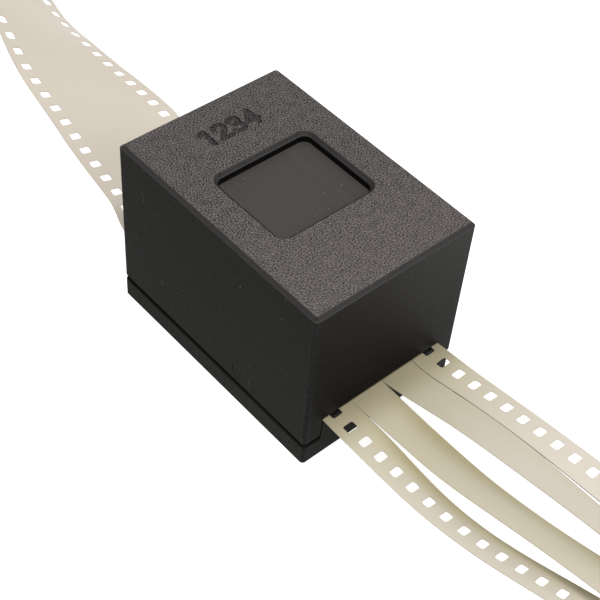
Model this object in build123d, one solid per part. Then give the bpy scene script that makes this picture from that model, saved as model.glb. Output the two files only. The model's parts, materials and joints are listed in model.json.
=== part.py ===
from build123d import *
import math
import os

# ---------------------------------------------------------------------------
# 35 mm film slitter: a tall cover held by magnets on a low base. The film runs
# along +X through a flat channel between them and leaves as four strips.
# Millimetres. Origin at the centre of the base's underside, +Z up, +X is the
# way the film travels, +Y completes the frame.
# ---------------------------------------------------------------------------

# overall
LENGTH = 65.0            # along the film
WIDTH = 45.0             # across the film
HEIGHT = 47.4            # cover top above the table
CORNER_R = 0.9           # vertical corners of base and cover
TOP_CORNER_R = 0.45      # the same corners at the level of the top face
TOP_CHAMFER = 0.9        # around the cover's top
SEAM_CHAMFER = 0.8       # around the cover's lower rim
SEAM_FILLET = 0.85       # around the base's upper rim

# film
FILM_W = 34.975          # ISO 1007 film width
FILM_T = 0.14            # base plus emulsion
FILM_Z = 11.90           # underside of the film in the channel
BLADE_PITCH = 9.2        # centre strips are 9.2 mm wide
CUT_X = -7.66            # the slits start here, between two perforations

# base
FLANGE_Z = 5.9           # top of the flange
TRACK_Z = 11.85          # top of the raised film track
TRACK_HALF_TOP = 17.2    # half width of the track at its top
TRACK_HALF_LOW = 17.65   # and where it meets the flange
BLADE_SLOT_W = 0.9
BLADE_SLOT_X0, BLADE_SLOT_X1 = -2.0, 6.0
BLADE_SLOT_Z = 7.6

# cover
COVER_Z = 6.05           # lower rim of the cover
LINTEL_Z = 12.65         # roof of the film channel
CHANNEL_HALF_TOP = 17.5  # half width of the channel at its roof
CHANNEL_HALF_LOW = 17.95
TOP_WALL = 2.5           # the cap lies this far below the top
POCKET_X, POCKET_Y = 19.2, 17.45   # half size of the cassette pocket
WINDOW_X, WINDOW_Y = 24.2, 27.7    # window in the top, over its chamfer
WINDOW_R, WINDOW_CHAMFER = 3.0, 0.9
MARK_DEPTH = 0.4         # depth of the engraved digits

# cassette
CAS_X, CAS_Y = 19.0, 17.3
CAP_T = 2.2
BLADE_T, BLADE_W, BLADE_LEN = 0.4, 9.0, 34.0
BLADE_LEAN = 35.0        # degrees from upright
TIP_X, TIP_Z = 2.5, 8.8
CORE_Z = 12.80           # underside of the cheeks and spacers
STEP_X, STEP_Z = 15.3, 14.25

# small parts
MAG_R, MAG_L, MAG_X, MAG_Y = 1.5, 5.0, 9.4, 20.2
PIN_R, PIN_L, PIN_X, PIN_Y = 1.5, 8.0, 26.5, 20.1
FELT_X0, FELT_X1, FELT_HALF = 20.2, 27.2, 16.0

os.makedirs("parts", exist_ok=True)


def box(x0, x1, y0, y1, z0, z1):
    return Pos((x0 + x1) / 2, (y0 + y1) / 2, (z0 + z1) / 2) * Box(
        x1 - x0, y1 - y0, z1 - z0)


def rounded(lx, ly, r, z0, z1):
    """upright block with rounded vertical corners"""
    return Pos(0, 0, z0) * extrude(RectangleRounded(lx, ly, r), z1 - z0)


def rod_z(x, y, r, z0, z1):
    return Pos(x, y, (z0 + z1) / 2) * Cylinder(r, z1 - z0)


def rod_y(x, z, r, y0, y1):
    return Pos(x, (y0 + y1) / 2, z) * Rot(90, 0, 0) * Cylinder(r, y1 - y0)


def prism_x(points_yz, x0, x1):
    """polygon in the YZ plane, extruded from x0 to x1"""
    face = make_face(Polyline(*[(x0, y, z) for y, z in points_yz], close=True))
    return extrude(face, amount=x1 - x0, dir=(1, 0, 0))


def prism_y(points_xz, y0, y1):
    """polygon in the XZ plane, extruded from y0 to y1"""
    face = make_face(Polyline(*[(x, y0, z) for x, z in points_xz], close=True))
    return extrude(face, amount=y1 - y0, dir=(0, 1, 0))


def prism_z(points_xy, z0, z1):
    face = make_face(Polyline(*[(x, y, z0) for x, y in points_xy], close=True))
    return extrude(face, amount=z1 - z0, dir=(0, 0, 1))


def save(shape, name):
    shape.label = name
    export_step(shape, "parts/" + name + ".step")


HX, HY = LENGTH / 2, WIDTH / 2

# --------------------------------------------------------------- base_plate
flange = rounded(LENGTH, WIDTH, CORNER_R, 0, FLANGE_Z)
flange = fillet(flange.faces().sort_by(Axis.Z)[-1].edges(), SEAM_FILLET)
flange = chamfer(flange.faces().sort_by(Axis.Z)[0].edges(), 0.25)
track = prism_x(
    [(-TRACK_HALF_LOW, FLANGE_Z - 3), (TRACK_HALF_LOW, FLANGE_Z - 3),
     (TRACK_HALF_LOW, FLANGE_Z), (TRACK_HALF_TOP, TRACK_Z),
     (-TRACK_HALF_TOP, TRACK_Z), (-TRACK_HALF_LOW, FLANGE_Z)], -HX, HX)
# lead-in chamfers where the film enters and leaves
for sx in (-1, 1):
    track -= prism_y([(sx * HX, TRACK_Z - 0.9), (sx * (HX - 0.9), TRACK_Z),
                      (sx * (HX + 1), TRACK_Z + 1), (sx * (HX + 1), TRACK_Z - 0.9)],
                     -20, 20)
base_plate = flange + track
for y in (-BLADE_PITCH, 0, BLADE_PITCH):
    base_plate -= box(BLADE_SLOT_X0, BLADE_SLOT_X1, y - BLADE_SLOT_W / 2,
                      y + BLADE_SLOT_W / 2, BLADE_SLOT_Z, TRACK_Z + 1)
for sx in (-1, 1):
    x0, x1 = sorted((sx * FELT_X0, sx * FELT_X1))
    base_plate -= box(x0, x1, -FELT_HALF, FELT_HALF, TRACK_Z - 1.0, TRACK_Z + 1)
    for sy in (-1, 1):
        base_plate -= rod_z(sx * MAG_X, sy * MAG_Y, MAG_R, FLANGE_Z - MAG_L - 0.1,
                            FLANGE_Z + 1)
for sx, sy in ((-1, 1), (1, -1)):
    base_plate -= rod_z(sx * PIN_X, sy * PIN_Y, PIN_R, FLANGE_Z - 4.0, FLANGE_Z + 1)
save(base_plate, "base_plate")

save(Compound([rod_z(sx * MAG_X, sy * MAG_Y, MAG_R, FLANGE_Z - MAG_L - 0.1,
                     FLANGE_Z - 0.1) for sx in (-1, 1) for sy in (-1, 1)]),
     "base_magnets")

pins = []
for sx, sy in ((-1, 1), (1, -1)):
    pin = rod_z(sx * PIN_X, sy * PIN_Y, PIN_R, FLANGE_Z - 4.0, FLANGE_Z - 4.0 + PIN_L)
    pin = chamfer(pin.edges().sort_by(Axis.Z)[-1], 0.4)
    pins.append(pin)
save(Compound(pins), "locating_pins")

for name, sx in (("base_felt_entry", -1), ("base_felt_exit", 1)):
    x0, x1 = sorted((sx * FELT_X0, sx * FELT_X1))
    save(box(x0, x1, -FELT_HALF, FELT_HALF, TRACK_Z - 1.0, TRACK_Z + 0.02), name)

# -------------------------------------------------------------- cover_shell
cover = rounded(LENGTH, WIDTH, CORNER_R, COVER_Z, HEIGHT - TOP_CHAMFER)
cover = chamfer(cover.faces().sort_by(Axis.Z)[0].edges(), SEAM_CHAMFER)
cover += loft([
    Pos(0, 0, HEIGHT - TOP_CHAMFER) * RectangleRounded(LENGTH, WIDTH, CORNER_R),
    Pos(0, 0, HEIGHT) * RectangleRounded(
        LENGTH - 2 * TOP_CHAMFER, WIDTH - 2 * TOP_CHAMFER, TOP_CORNER_R)], ruled=True)
# film channel, open below, with a bevel at the foot of each leg
cover -= prism_x(
    [(-CHANNEL_HALF_LOW - SEAM_CHAMFER - 0.5, COVER_Z - 0.5),
     (CHANNEL_HALF_LOW + SEAM_CHAMFER + 0.5, COVER_Z - 0.5),
     (CHANNEL_HALF_LOW, COVER_Z + SEAM_CHAMFER), (CHANNEL_HALF_TOP, LINTEL_Z),
     (-CHANNEL_HALF_TOP, LINTEL_Z), (-CHANNEL_HALF_LOW, COVER_Z + SEAM_CHAMFER)],
    -HX - 1, HX + 1)
# cassette pocket
cover -= box(-POCKET_X, POCKET_X, -POCKET_Y, POCKET_Y, LINTEL_Z - 1, HEIGHT - TOP_WALL)
# recesses for the retainers
for sx in (-1, 1):
    x0, x1 = sorted((sx * (POCKET_X - 1), sx * 27.7))
    cover -= box(x0, x1, -16.7, 16.7, LINTEL_Z - 1, STEP_Z)
    for sy in (-1, 1):
        cover -= rod_z(sx * 23.7, sy * 11.0, 1.25, STEP_Z - 1, 23.0)
        cover -= rod_z(sx * MAG_X, sy * MAG_Y, MAG_R, COVER_Z - 1, COVER_Z + MAG_L + 0.1)
for sx, sy in ((-1, 1), (1, -1)):
    cover -= rod_z(sx * PIN_X, sy * PIN_Y, PIN_R + 0.06, COVER_Z - 1, 10.4)
# window with a bevelled edge
window = extrude(RectangleRounded(WINDOW_X - 2 * WINDOW_CHAMFER,
                                  WINDOW_Y - 2 * WINDOW_CHAMFER,
                                  WINDOW_R - WINDOW_CHAMFER), 6)
cover -= Pos(0, 0, HEIGHT - TOP_WALL - 1) * window
bevel = loft([
    Pos(0, 0, HEIGHT - WINDOW_CHAMFER) * RectangleRounded(
        WINDOW_X - 2 * WINDOW_CHAMFER, WINDOW_Y - 2 * WINDOW_CHAMFER,
        WINDOW_R - WINDOW_CHAMFER),
    Pos(0, 0, HEIGHT) * RectangleRounded(WINDOW_X, WINDOW_Y, WINDOW_R)], ruled=True)
cover -= bevel

# engraved digits 1 2 3 4, read along +Y with their tops towards -X
STROKE = 1.15
DIGITS = {
    "1": [[(-0.9, 1.6), (0.35, 2.3), (0.35, -2.3)]],
    "2": [[(-1.35, 1.3), (-0.9, 2.1), (0, 2.35), (0.95, 2.1), (1.35, 1.25),
           (1.1, 0.35), (-1.35, -2.25), (1.45, -2.25)]],
    "3": [[(-1.3, 1.55), (-0.75, 2.2), (0.1, 2.35), (1.0, 2.0), (1.25, 1.2),
           (0.85, 0.4), (-0.1, 0.1), (0.95, -0.2), (1.4, -1.1), (1.05, -1.95),
           (0.1, -2.35), (-0.85, -2.15), (-1.4, -1.5)]],
    "4": [[(0.75, -2.35), (0.75, 2.3), (-1.5, -1.0), (1.5, -1.0)]],
}
DIGIT_PITCH, DIGIT_X, DIGIT_Y0 = 4.05, -22.3, -5.95


def stroke_solids(path, cx, cy):
    """round-ended strokes along a path, sunk into the top; u is +Y, v is -X"""
    out = None
    pts = [(cx - v, cy + u) for u, v in path]
    for (xa, ya), (xb, yb) in zip(pts, pts[1:]):
        d = math.hypot(xb - xa, yb - ya)
        ang = math.degrees(math.atan2(yb - ya, xb - xa))
        bar = Pos((xa + xb) / 2, (ya + yb) / 2, HEIGHT - MARK_DEPTH / 2 + 0.5) * Rot(
            0, 0, ang) * Box(d, STROKE, MARK_DEPTH + 1.0)
        out = bar if out is None else out + bar
    for x, y in pts:
        out += rod_z(x, y, STROKE / 2, HEIGHT - MARK_DEPTH, HEIGHT + 1.0)
    return out


for i, ch in enumerate("1234"):
    for path in DIGITS[ch]:
        cover -= stroke_solids(path, DIGIT_X, DIGIT_Y0 + i * DIGIT_PITCH)
save(cover, "cover_shell")

save(Compound([rod_z(sx * MAG_X, sy * MAG_Y, MAG_R, COVER_Z + 0.1, COVER_Z + MAG_L + 0.1)
               for sx in (-1, 1) for sy in (-1, 1)]), "cover_magnets")

# ----------------------------------------------------------------- cassette
CAP_Z1 = HEIGHT - TOP_WALL
CAP_Z0 = CAP_Z1 - CAP_T
lean = math.radians(BLADE_LEAN)
EX, EZ = -math.sin(lean), math.cos(lean)      # up along the cutting edge
WX, WZ = math.cos(lean), math.sin(lean)       # from the edge towards the back
BACK = BLADE_W / math.tan(math.radians(60))   # the end is cut at 60 degrees
blade_pts = [
    (TIP_X, TIP_Z),
    (TIP_X + EX * BLADE_LEN, TIP_Z + EZ * BLADE_LEN),
    (TIP_X + EX * (BLADE_LEN + BACK) + WX * BLADE_W,
     TIP_Z + EZ * (BLADE_LEN + BACK) + WZ * BLADE_W),
    (TIP_X + EX * BACK + WX * BLADE_W, TIP_Z + EZ * BACK + WZ * BLADE_W)]
# keep the upper end under the cap
top_cut = CAP_Z0 - 0.4
p1, p2 = blade_pts[1], blade_pts[2]
k = (top_cut - p1[1]) / (p2[1] - p1[1])
p3 = blade_pts[3]
m = (top_cut - p2[1]) / (p3[1] - p2[1])
blade_pts = [blade_pts[0], p1, (p1[0] + k * (p2[0] - p1[0]), top_cut),
             (p2[0] + m * (p3[0] - p2[0]), top_cut), p3]


def at_back(t, off):
    """a point beside the blade's back edge, t along it from below"""
    a, b = blade_pts[4], blade_pts[3]
    return (a[0] + t * (b[0] - a[0]) + WX * off, a[1] + t * (b[1] - a[1]) + WZ * off)


DOWELS = [at_back(0.18, 1.04), at_back(0.78, 1.04)]
BOLTS = [(12.6, 27.0), (-13.4, 20.5)]
CAP_SCREWS = [(sx * 16.0, sy * 13.4) for sx in (-1, 1) for sy in (-1, 1)]


def core(y0, y1):
    """a slice of the cassette's core between two planes across the film"""
    body = prism_y([(-CAS_X, STEP_Z), (-STEP_X, STEP_Z), (-STEP_X, CORE_Z),
                    (STEP_X, CORE_Z), (STEP_X, STEP_Z), (CAS_X, STEP_Z),
                    (CAS_X, CAP_Z0), (-CAS_X, CAP_Z0)], y0, y1)
    for x, z in BOLTS:
        body -= rod_y(x, z, 1.6, y0 - 1, y1 + 1)
    for x, z in DOWELS:
        body -= rod_y(x, z, 1.04, y0 - 1, y1 + 1)
    return body


g = BLADE_T / 2
left = core(-CAS_Y, -BLADE_PITCH - g)
right = core(BLADE_PITCH + g, CAS_Y)
for x, z in BOLTS:
    left -= rod_y(x, z, 2.9, -CAS_Y - 1, -CAS_Y + 3.2)
    right -= Pos(x, CAS_Y - 1.3, z) * Rot(90, 0, 0) * extrude(
        RegularPolygon(2.8, 6, major_radius=False), 2.6, both=True)
for x, z in DOWELS:                     # blind at the outer faces
    left += rod_y(x, z, 1.3, -CAS_Y, -CAS_Y + 0.6)
    right += rod_y(x, z, 1.3, CAS_Y - 0.6, CAS_Y)
for x, y in CAP_SCREWS:
    hole = rod_z(x, y, 1.25, CAP_Z0 - 7.5, CAP_Z0 + 1)
    left -= hole
    right -= hole
save(left, "cassette_cheek_left")
save(right, "cassette_cheek_right")
save(core(-BLADE_PITCH + g, -g), "blade_spacer_left")
save(core(g, BLADE_PITCH - g), "blade_spacer_right")

for name, y in (("slitting_blade_left", -BLADE_PITCH), ("slitting_blade_centre", 0),
                ("slitting_blade_right", BLADE_PITCH)):
    save(prism_y(blade_pts, y - g, y + g), name)

cap = rounded(2 * CAS_X, 2 * CAS_Y, 1.5, CAP_Z0, CAP_Z1)
for x, y in CAP_SCREWS:
    cap -= rod_z(x, y, 1.35, CAP_Z0 - 1, CAP_Z1 + 1)
    cap -= Pos(x, y, CAP_Z1 - 0.65) * Cone(1.35, 2.45, 1.3)
save(cap, "cassette_cap")


def flat_head_screw(x, y, z_head, length, up):
    """countersunk screw with a hex socket; z_head is the flat of its head"""
    s = 1 if up else -1
    head = Pos(x, y, z_head + s * 0.575) * Rot(0 if not up else 180, 0, 0) * Cone(
        1.2, 2.35, 1.15)
    shank = rod_z(x, y, 1.2, *sorted((z_head + s * 1.0, z_head + s * length)))
    screw = head + shank
    screw -= Pos(x, y, z_head) * extrude(
        RegularPolygon(0.75, 6, major_radius=False), 0.6, both=True)
    return screw


save(Compound([flat_head_screw(x, y, CAP_Z1 - 0.05, 8.0, False)
               for x, y in CAP_SCREWS]), "cap_screws")

BOLT_Y0 = -CAS_Y + 3.2
for name, (x, z) in (("cross_bolt_exit", BOLTS[0]), ("cross_bolt_entry", BOLTS[1])):
    bolt = rod_y(x, z, 1.5, BOLT_Y0 - 0.5, CAS_Y - 0.4) + rod_y(
        x, z, 2.75, BOLT_Y0 - 3.0, BOLT_Y0)
    bolt -= Pos(x, BOLT_Y0 - 3.0, z) * Rot(90, 0, 0) * extrude(
        RegularPolygon(1.25, 6, major_radius=False), 1.5, both=True)
    save(bolt, name)
nuts = []
for x, z in BOLTS:
    nut = Pos(x, CAS_Y - 2.6 - 1.2, z) * Rot(90, 0, 0) * extrude(
        RegularPolygon(2.75, 6, major_radius=False), 1.2, both=True)
    nut = Pos(0, 1.2 - 0.1 + 0.15 + 1.1, 0) * nut
    nut -= rod_y(x, z, 1.5, 0, CAS_Y + 5)
    nuts.append(nut)
save(Compound(nuts), "cross_bolt_nuts")

save(Compound([rod_y(x, z, 1.0, -CAS_Y + 0.7, CAS_Y - 0.7) for x, z in DOWELS]),
     "blade_dowels")

for name, sx in (("cassette_retainer_entry", -1), ("cassette_retainer_exit", 1)):
    x0, x1 = sorted((sx * (STEP_X + 0.2), sx * 27.5))
    plate = box(x0, x1, -16.5, 16.5, LINTEL_Z, STEP_Z)
    for sy in (-1, 1):
        plate -= rod_z(sx * 23.7, sy * 11.0, 1.3, LINTEL_Z - 1, STEP_Z + 1)
        plate -= Pos(sx * 23.7, sy * 11.0, LINTEL_Z + 0.6) * Cone(2.5, 1.3, 1.2)
    save(plate, name)
save(Compound([flat_head_screw(sx * 23.7, sy * 11.0, LINTEL_Z + 0.05, 9.5, True)
               for sx in (-1, 1) for sy in (-1, 1)]), "retainer_screws")
for name, sx in (("pressure_felt_entry", -1), ("pressure_felt_exit", 1)):
    x0, x1 = sorted((sx * FELT_X0, sx * FELT_X1))
    save(box(x0, x1, -FELT_HALF, FELT_HALF, FILM_Z + FILM_T + 0.03, LINTEL_Z), name)

# --------------------------------------------------------------------- film
# Outside the slitter each piece of film is a ribbon that bends and twists
# along its length: BEND turns it up or down, TWIST rolls it, DRIFT steers it
# sideways, each in radians per millimetre at the stations in KNOTS.


def ribbon(start, forward, side, knots, bend, twist, drift, length, step):
    """centre points and frames of a ribbon, by stepping along it"""
    def cross(a, b):
        return (a[1] * b[2] - a[2] * b[1], a[2] * b[0] - a[0] * b[2],
                a[0] * b[1] - a[1] * b[0])

    def interp(s, ys):
        if s <= knots[0]:
            return ys[0]
        for (a, b), (ya, yb) in zip(zip(knots, knots[1:]), zip(ys, ys[1:])):
            if s <= b:
                return ya + (yb - ya) * (s - a) / (b - a)
        return ys[-1]

    def norm(a):
        n = math.sqrt(sum(c * c for c in a))
        return tuple(c / n for c in a)

    fine = 0.5
    p, t, d = start, forward, side
    out, s, want = [], 0.0, 0.0
    while True:
        if s >= want - 1e-9:
            out.append((s, p, t, d, cross(t, d)))
            want += step
            if s >= length - 1e-9:
                return out
        kb, kt, kd = interp(s + fine / 2, bend), interp(s + fine / 2, twist), interp(
            s + fine / 2, drift)
        n = cross(t, d)
        t2 = norm(tuple(t[i] + fine * (kb * n[i] + kd * d[i]) for i in range(3)))
        d2 = tuple(d[i] + fine * (kt * n[i] - kd * t[i]) for i in range(3))
        dot = sum(d2[i] * t2[i] for i in range(3))
        d2 = norm(tuple(d2[i] - dot * t2[i] for i in range(3)))
        p = tuple(p[i] + fine * (t[i] + t2[i]) / 2 for i in range(3))
        t, d = t2, d2
        s += fine


def ribbon_solid(frames, half, thick):
    sections = []
    for s, p, t, d, n in frames:
        c = []
        for a, b in ((-1, -1), (1, -1), (1, 1), (-1, 1)):
            c.append(tuple(p[i] + a * half * d[i] + b * thick / 2 * n[i]
                           for i in range(3)))
        sections.append(Wire.make_polygon([Vector(*q) for q in c], close=True))
    return Solid.make_loft(sections, ruled=True)


FILM_MID = FILM_Z + FILM_T / 2
KNOTS_OUT = [0, 8, 18, 30, 45, 60, 75, 90]
STRIP_LEN = 72.0
STRIPS = {
    # name: (y from, y to, bend, twist, drift)
    "film_edge_strip_left": (
        -FILM_W / 2, -BLADE_PITCH,
        [-0.0055, -0.0083, 0.0005, 0.0122, 0.0085, -0.0007, -0.0019, -0.0018],
        [0.0095, -0.0063, -0.0206, -0.0101, 0.0006, 0.0045, 0.0003, 0.0003],
        [0.001, 0.0014, 0.001, 0.0009, 0.0005, 0.0001, 0, 0]),
    "film_centre_strip_left": (
        -BLADE_PITCH, 0,
        [0.0043, 0.0005, 0.0027, 0.0079, 0.0004, 0.0008, -0.0007, -0.0014],
        [-0.0114, -0.0134, -0.0075, -0.0124, -0.0032, 0.0092, 0.0084, 0.0083],
        [0, 0, 0, 0, 0, 0, 0, 0]),
    "film_centre_strip_right": (
        0, BLADE_PITCH,
        [0.0456, 0.0071, -0.0065, -0.0046, -0.0016, 0, -0.0005, -0.0006],
        [-0.0239, -0.006, -0.0058, -0.0043, -0.0115, -0.0057, -0.0056, -0.0056],
        [0.0005, -0.0001, -0.0001, 0, 0, 0, 0, 0]),
    "film_edge_strip_right": (
        BLADE_PITCH, FILM_W / 2,
        [0.0272, 0.0066, -0.0012, -0.0049, -0.0078, -0.0016, 0.0039, 0.0088],
        [0.0214, -0.0173, -0.005, 0.0005, 0.0067, 0.0044, -0.0005, -0.005],
        [0.0027, 0.0003, -0.0015, 0.0012, 0.0052, 0.0017, -0.0012, -0.0027]),
}
WIDE_GAP, CUT_GAP = 0.35, 0.03   # beside the blades, and past them
GAP_X = 4.4                      # the wide gap ends past the blades
for name, (y0, y1, bend, twist, drift) in STRIPS.items():
    a0, a1 = abs(y0) < FILM_W / 2 - 0.1, abs(y1) < FILM_W / 2 - 0.1   # cut edges
    flat = prism_z([(CUT_X, y0 + a0 * WIDE_GAP), (GAP_X, y0 + a0 * WIDE_GAP),
                    (GAP_X + 1, y0 + a0 * CUT_GAP), (HX, y0 + a0 * CUT_GAP),
                    (HX, y1 - a1 * CUT_GAP), (GAP_X + 1, y1 - a1 * CUT_GAP),
                    (GAP_X, y1 - a1 * WIDE_GAP), (CUT_X, y1 - a1 * WIDE_GAP)],
                   FILM_Z, FILM_Z + FILM_T)
    ya, yb = y0 + a0 * CUT_GAP, y1 - a1 * CUT_GAP
    frames = ribbon((HX, (ya + yb) / 2, FILM_MID), (1, 0, 0), (0, 1, 0),
                    KNOTS_OUT, bend, twist, drift, STRIP_LEN, 6.0)
    save(flat + ribbon_solid(frames, (yb - ya) / 2, FILM_T), name)

KNOTS_IN = [0, 4.9, 9, 14, 20, 28, 37, 47, 58, 72, 88, 110]
BACK_BEND = [0, 0, -0.0193, -0.0265, -0.0133, 0.0106, 0.0093, 0.0019, -0.0143,
             0.0072, 0.0012, 0.0007]
BACK_TWIST = [0, 0, 0.0556, 0.0064, -0.0054, -0.0033, 0.0083, 0.0078, 0.0116,
              0.0138, -0.0088, -0.0029]
BACK_DRIFT = [0, 0, 0.0009, 0.0008, 0, -0.0012, -0.0009, -0.0005, -0.0008,
              0.0021, 0.0011, 0]
BACK_LEN, LEAD_IN = 95.0, 5.0
film = box(-HX - LEAD_IN, CUT_X, -FILM_W / 2, FILM_W / 2, FILM_Z, FILM_Z + FILM_T)
frames = ribbon((-HX, 0, FILM_MID), (-1, 0, 0), (0, 1, 0), KNOTS_IN, BACK_BEND,
                BACK_TWIST, BACK_DRIFT, BACK_LEN, 5.0)
save(film + ribbon_solid(frames[1:], FILM_W / 2, FILM_T), "film_uncut")
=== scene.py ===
import json
import math
import bpy
import bmesh
import numpy as np
from mathutils import Matrix, Vector
from mathutils.geometry import delaunay_2d_cdt


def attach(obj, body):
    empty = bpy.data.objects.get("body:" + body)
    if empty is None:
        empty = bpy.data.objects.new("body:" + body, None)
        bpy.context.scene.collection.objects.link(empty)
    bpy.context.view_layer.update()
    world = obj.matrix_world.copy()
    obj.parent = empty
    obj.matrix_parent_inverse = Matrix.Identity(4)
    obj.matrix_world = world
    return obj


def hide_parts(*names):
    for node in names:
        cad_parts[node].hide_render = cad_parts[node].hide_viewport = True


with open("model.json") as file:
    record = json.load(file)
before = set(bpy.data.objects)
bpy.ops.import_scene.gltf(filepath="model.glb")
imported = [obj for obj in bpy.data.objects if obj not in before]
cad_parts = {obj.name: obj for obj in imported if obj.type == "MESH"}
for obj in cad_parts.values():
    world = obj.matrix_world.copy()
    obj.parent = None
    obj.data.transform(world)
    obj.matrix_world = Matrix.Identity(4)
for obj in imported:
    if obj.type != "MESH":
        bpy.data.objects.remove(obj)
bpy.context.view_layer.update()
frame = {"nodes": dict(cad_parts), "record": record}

NODES = frame["nodes"]
MM = 0.001

# ------------------------------------------------------------------ numbers
HX, HY, H = 32.5, 22.5, 47.4
CORNER_R, TOP_R, TOP_CH = 0.9, 0.45, 0.9
WIN_X, WIN_Y, WIN_R, WIN_CH = 24.2, 27.7, 3.0, 0.9
FILM_W, FILM_T, FILM_MID = 34.975, 0.14, 11.97
PITCH, PERF_A, PERF_B, PERF_R, PERF_V = 4.75, 2.79, 1.98, 0.5, 14.08
PERF_X0 = 32.72
BLADE_PITCH = 9.2
CUT_X, GAP_X, WIDE_GAP, CUT_GAP = -7.66, 4.4, 0.35, 0.03


def smooth01(t):
    t = np.clip(t, 0.0, 1.0)
    return t * t * (3 - 2 * t)


def sd_rounded(x, y, hx, hy, r):
    """signed distance to a rounded rectangle, negative inside"""
    qx, qy = np.abs(x) - hx + r, np.abs(y) - hy + r
    return (np.hypot(np.maximum(qx, 0), np.maximum(qy, 0))
            + np.minimum(np.maximum(qx, qy), 0) - r)


def field(nx, ny, step, wave, spread, seed):
    """a band-limited random relief on a grid, about -1 to 1"""
    rng = np.random.RandomState(seed)
    f = np.fft.fft2(rng.standard_normal((ny, nx)))
    k = np.hypot(np.fft.fftfreq(nx, step)[None, :], np.fft.fftfreq(ny, step)[:, None])
    f *= np.exp(-0.5 * ((k - 1 / wave) / (spread / wave)) ** 2)
    z = np.real(np.fft.ifft2(f))
    return z / z.std()


def sample(z, x0, y0, step, x, y):
    u, v = (x - x0) / step, (y - y0) / step
    i = np.clip(np.floor(u).astype(int), 0, z.shape[1] - 2)
    j = np.clip(np.floor(v).astype(int), 0, z.shape[0] - 2)
    fu, fv = np.clip(u - i, 0, 1), np.clip(v - j, 0, 1)
    return ((z[j, i] * (1 - fu) + z[j, i + 1] * fu) * (1 - fv)
            + (z[j + 1, i] * (1 - fu) + z[j + 1, i + 1] * fu) * fv)


# ---------------------------------------------------------------- cover mesh
STROKE, MARK_DEPTH = 1.15, 0.40
DIGITS = {
    "1": [(-0.9, 1.6), (0.35, 2.3), (0.35, -2.3)],
    "2": [(-1.35, 1.3), (-0.9, 2.1), (0, 2.35), (0.95, 2.1), (1.35, 1.25),
          (1.1, 0.35), (-1.35, -2.25), (1.45, -2.25)],
    "3": [(-1.3, 1.55), (-0.75, 2.2), (0.1, 2.35), (1.0, 2.0), (1.25, 1.2),
          (0.85, 0.4), (-0.1, 0.1), (0.95, -0.2), (1.4, -1.1), (1.05, -1.95),
          (0.1, -2.35), (-0.85, -2.15), (-1.4, -1.5)],
    "4": [(0.75, -2.35), (0.75, 2.3), (-1.5, -1.0), (1.5, -1.0)],
}
DIGIT_PITCH, DIGIT_X, DIGIT_Y0 = 4.05, -22.3, -5.95


def digit_distance(x, y):
    """distance to the digits' strokes, negative inside them"""
    d = np.full(np.shape(x), 1e3)
    for i, ch in enumerate("1234"):
        pts = [(DIGIT_X - v, DIGIT_Y0 + i * DIGIT_PITCH + u) for u, v in DIGITS[ch]]
        for (ax, ay), (bx, by) in zip(pts, pts[1:]):
            ex, ey = bx - ax, by - ay
            t = np.clip(((x - ax) * ex + (y - ay) * ey) / (ex * ex + ey * ey), 0, 1)
            d = np.minimum(d, np.hypot(x - ax - t * ex, y - ay - t * ey))
    return d - STROKE / 2


GRAIN_STEP = 0.1
GX, GY = -36.0, -26.0
grain_a = field(720, 520, GRAIN_STEP, 0.62, 0.40, 3)
grain_b = field(720, 520, GRAIN_STEP, 0.36, 0.35, 4)
grain_c = field(720, 520, GRAIN_STEP, 4.0, 0.5, 5)
grain = np.tanh(1.15 * (grain_a + 0.50 * grain_b + 0.10 * grain_c))


def rim_arc(x, y, hx, hy, r):
    """a coordinate that runs along the nearest edge of a rounded rectangle"""
    cx, cy = np.sign(x) * (hx - r), np.sign(y) * (hy - r)
    corner = (np.abs(x) > hx - r) & (np.abs(y) > hy - r)
    along_x = (hy - np.abs(y)) < (hx - np.abs(x))
    ang = np.arctan2(np.abs(y - cy), np.abs(x - cx) + 1e-9)
    return np.where(corner, ang * r + 7.0, np.where(along_x, x, y))


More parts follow.
